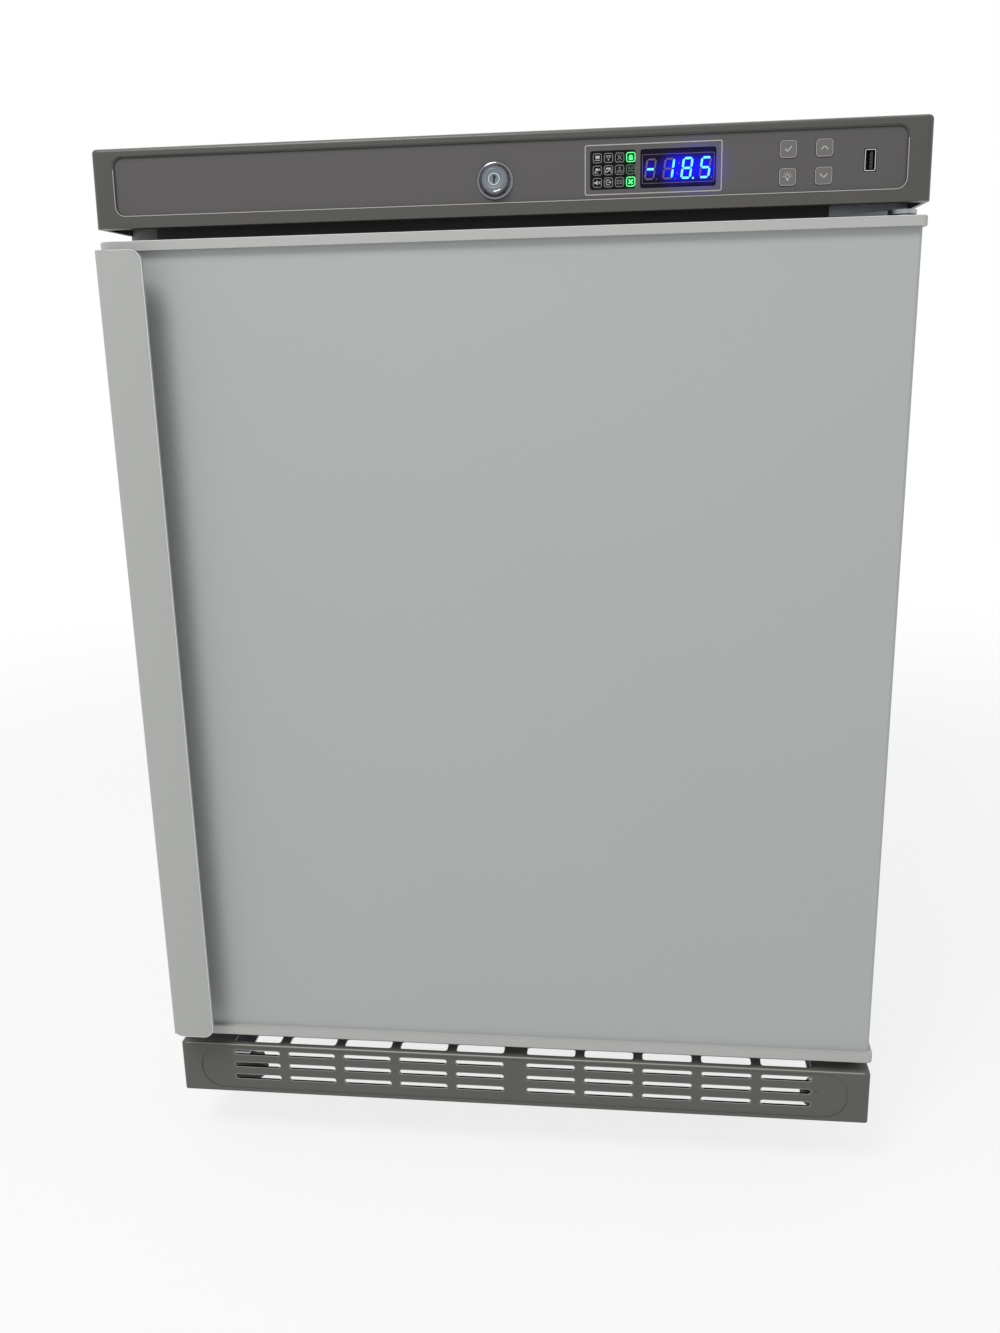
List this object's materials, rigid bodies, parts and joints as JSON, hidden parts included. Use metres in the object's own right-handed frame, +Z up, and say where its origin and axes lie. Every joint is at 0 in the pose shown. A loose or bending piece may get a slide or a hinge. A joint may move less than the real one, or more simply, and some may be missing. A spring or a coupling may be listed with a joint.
{
  "type": "laboratory freezer",
  "caption": "Under-bench laboratory freezer: insulated cabinet, hinged door with full-height handle, lockable control fascia with display and keys, slotted kick grille, rear condenser.",
  "frame": {"origin": "on the floor, under the middle of the overall box", "axes": "+Z up; -Y towards the user at the door; +X to the right as the user sees it"},
  "size_m": [0.6, 0.62, 0.84],
  "materials": {
    "body_paint": "satin",
    "door_paint": "satin",
    "cap_plastic": "satin",
    "handle_paint": "satin",
    "fascia_plastic": "satin",
    "overlay_film": "satin",
    "window_plastic": "gloss",
    "key_plastic": "satin",
    "board_resin": "satin",
    "black_plastic": "satin",
    "lock_plate": "polished",
    "zinc_sheet": "satin",
    "foam": "matte",
    "liner_plastic": "satin",
    "frame_plastic": "satin",
    "evaporator_aluminium": "satin",
    "lamp_plastic": "satin",
    "gasket_rubber": "matte",
    "nylon": "satin",
    "black_rubber": "matte",
    "black_enamel": "gloss",
    "copper_tube": "satin",
    "foot_plastic": "matte"
  },
  "bodies": {
    "cabinet": {"side_panel_left": "body_paint", "side_panel_right": "body_paint", "worktop": "body_paint", "front_frame": "frame_plastic", "back_panel": "zinc_sheet", "floor_pan": "zinc_sheet", "cabinet_foam": "foam", "inner_liner": "liner_plastic", "evaporator_shelf_lower": "evaporator_aluminium", "evaporator_shelf_middle": "evaporator_aluminium", "evaporator_shelf_upper": "evaporator_aluminium", "interior_lamp": "lamp_plastic", "temperature_probe": "nylon", "probe_clip": "nylon", "control_fascia": "fascia_plastic", "fascia_overlay": "overlay_film", "icon_window": "window_plastic", "digit_window": "window_plastic", "control_board": "board_resin", "usb_port": "black_plastic", "lock_housing": "lock_plate", "lock_nut": "zinc_sheet", "top_hinge": "zinc_sheet", "bottom_hinge": "zinc_sheet", "hinge_pins": "zinc_sheet", "hinge_screws": "zinc_sheet", "kick_grille": "fascia_plastic", "base_frame": "zinc_sheet", "foot_nuts": "zinc_sheet", "compressor_tray": "zinc_sheet", "compressor": "black_enamel", "compressor_grommets": "black_rubber", "relay_box": "black_plastic", "discharge_pipe": "copper_tube", "suction_pipe": "copper_tube", "filter_drier": "copper_tube", "condenser": "black_enamel", "condenser_brackets": "black_enamel", "cable_gland": "black_plastic"},
    "door": {"door_skin": "door_paint", "door_top_cap": "cap_plastic", "door_bottom_cap": "cap_plastic", "door_foam": "foam", "door_liner": "liner_plastic", "door_gasket": "gasket_rubber", "door_handle": "handle_paint", "handle_screws": "zinc_sheet", "hinge_bushes": "nylon", "lock_strike": "nylon"},
    "lock": {"lock_cylinder": "lock_plate", "lock_cam": "zinc_sheet"},
    "button_confirm": {"button_confirm": "key_plastic"},
    "button_up": {"button_up": "key_plastic"},
    "button_lamp": {"button_lamp": "key_plastic"},
    "button_down": {"button_down": "key_plastic"},
    "foot_front_left": {"foot_front_left": "foot_plastic"},
    "foot_front_right": {"foot_front_right": "foot_plastic"},
    "foot_rear_left": {"foot_rear_left": "foot_plastic"},
    "foot_rear_right": {"foot_rear_right": "foot_plastic"}
  },
  "joints": [
    {"name": "door_hinge", "type": "hinge", "parent": "cabinet", "child": "door", "pos_m": [0.286, -0.268, 0.4429], "axis": [0, 0, 1], "range_deg": [0, 120]},
    {"name": "lock_turn", "type": "hinge", "parent": "cabinet", "child": "lock", "pos_m": [-0.001, -0.2891, 0.80798], "axis": [0, -0.9989, 0.0462], "range_deg": [0, 90]},
    {"name": "press_confirm", "type": "slide", "parent": "cabinet", "child": "button_confirm", "axis": [0, 0.9989, -0.0462], "range_m": [0, 0.0008], "stiffness_N_per_m": 400, "springref_m": -0.0005},
    {"name": "press_up", "type": "slide", "parent": "cabinet", "child": "button_up", "axis": [0, 0.9989, -0.0462], "range_m": [0, 0.0008], "stiffness_N_per_m": 400, "springref_m": -0.0005},
    {"name": "press_lamp", "type": "slide", "parent": "cabinet", "child": "button_lamp", "axis": [0, 0.9989, -0.0462], "range_m": [0, 0.0008], "stiffness_N_per_m": 400, "springref_m": -0.0005},
    {"name": "press_down", "type": "slide", "parent": "cabinet", "child": "button_down", "axis": [0, 0.9989, -0.0462], "range_m": [0, 0.0008], "stiffness_N_per_m": 400, "springref_m": -0.0005},
    {"name": "foot_turn_front_left", "type": "hinge", "parent": "cabinet", "child": "foot_front_left", "pos_m": [-0.278, -0.182, 0.018], "axis": [0, 0, 1], "continuous": true},
    {"name": "foot_turn_front_right", "type": "hinge", "parent": "cabinet", "child": "foot_front_right", "pos_m": [0.278, -0.182, 0.018], "axis": [0, 0, 1], "continuous": true},
    {"name": "foot_turn_rear_left", "type": "hinge", "parent": "cabinet", "child": "foot_rear_left", "pos_m": [-0.278, 0.233, 0.018], "axis": [0, 0, 1], "continuous": true},
    {"name": "foot_turn_rear_right", "type": "hinge", "parent": "cabinet", "child": "foot_rear_right", "pos_m": [0.278, 0.233, 0.018], "axis": [0, 0, 1], "continuous": true}
  ]
}
